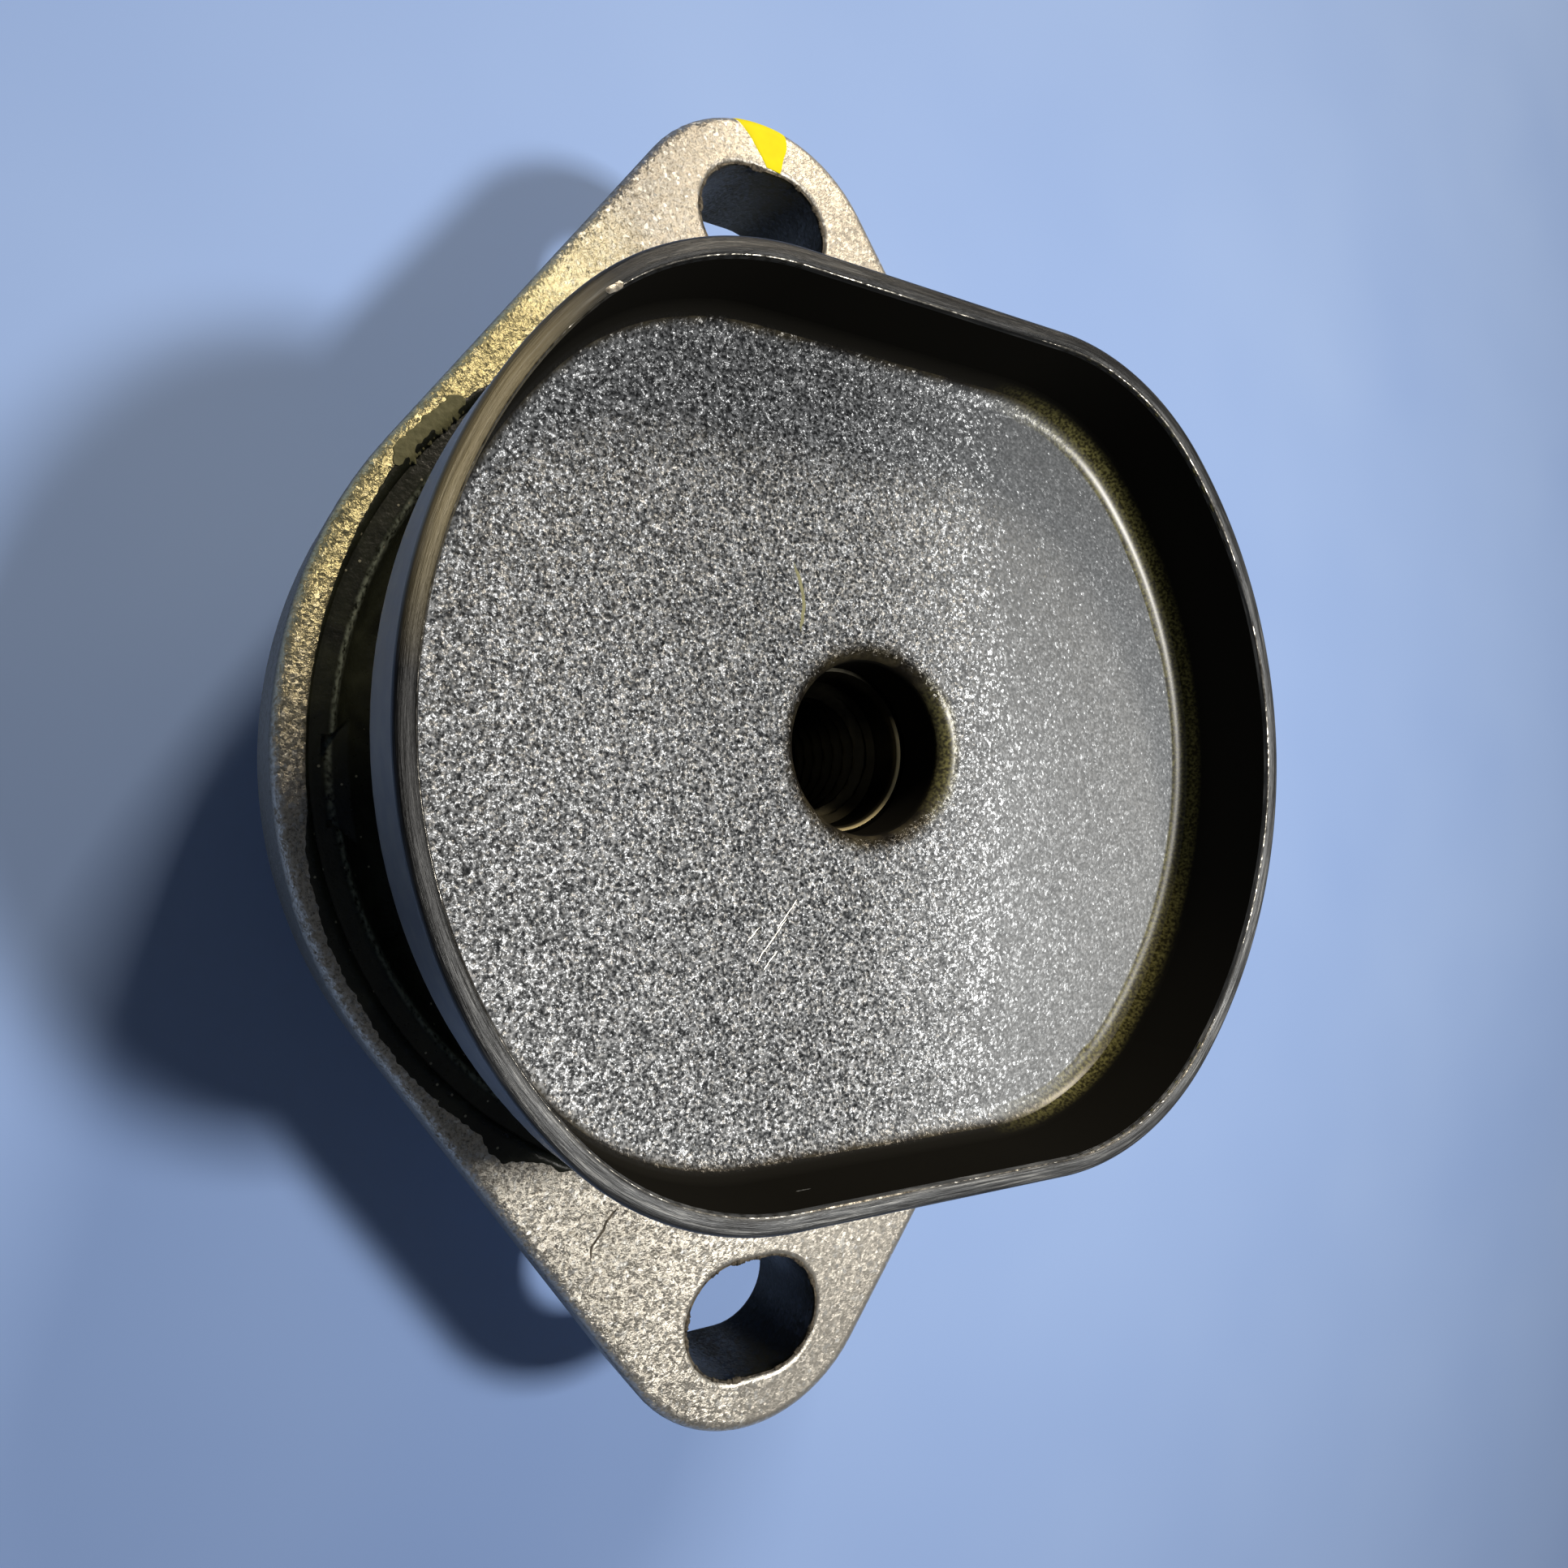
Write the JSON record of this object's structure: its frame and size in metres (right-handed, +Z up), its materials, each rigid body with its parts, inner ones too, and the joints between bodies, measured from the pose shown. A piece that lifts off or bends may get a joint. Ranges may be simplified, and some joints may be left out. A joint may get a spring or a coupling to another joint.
{
  "type": "engine mount",
  "caption": "Hydraulic engine mount: two-lug cast aluminium housing, bonded rubber spring, threaded core with a pressed steel stop dish, and a crimped fluid chamber.",
  "frame": {"origin": "centre of the base cup, on its underside", "axes": "+Z up along the mount axis, +Y from one lug to the other, +X across the flange"},
  "size_m": [0.0876, 0.1292, 0.0588],
  "materials": {
    "cast_aluminium": "raw sand-grained casting",
    "turned_aluminium": "turned",
    "phosphated_steel": "grey phosphate over pressed steel",
    "spring_rubber": "moulded, matt",
    "die_cast_plate": "die-cast",
    "membrane_rubber": "moulded, smooth",
    "plated_steel": "zinc-plated pressing"
  },
  "bodies": {
    "root": {"flange_housing": "cast_aluminium", "inner_core": "turned_aluminium", "stop_dish": "phosphated_steel", "rubber_spring": "spring_rubber", "upper_channel_plate": "die_cast_plate", "lower_channel_plate": "die_cast_plate", "decoupler_membrane": "membrane_rubber", "diaphragm": "membrane_rubber", "diaphragm_ring": "plated_steel", "base_cup": "plated_steel"}
  },
  "joints": []
}
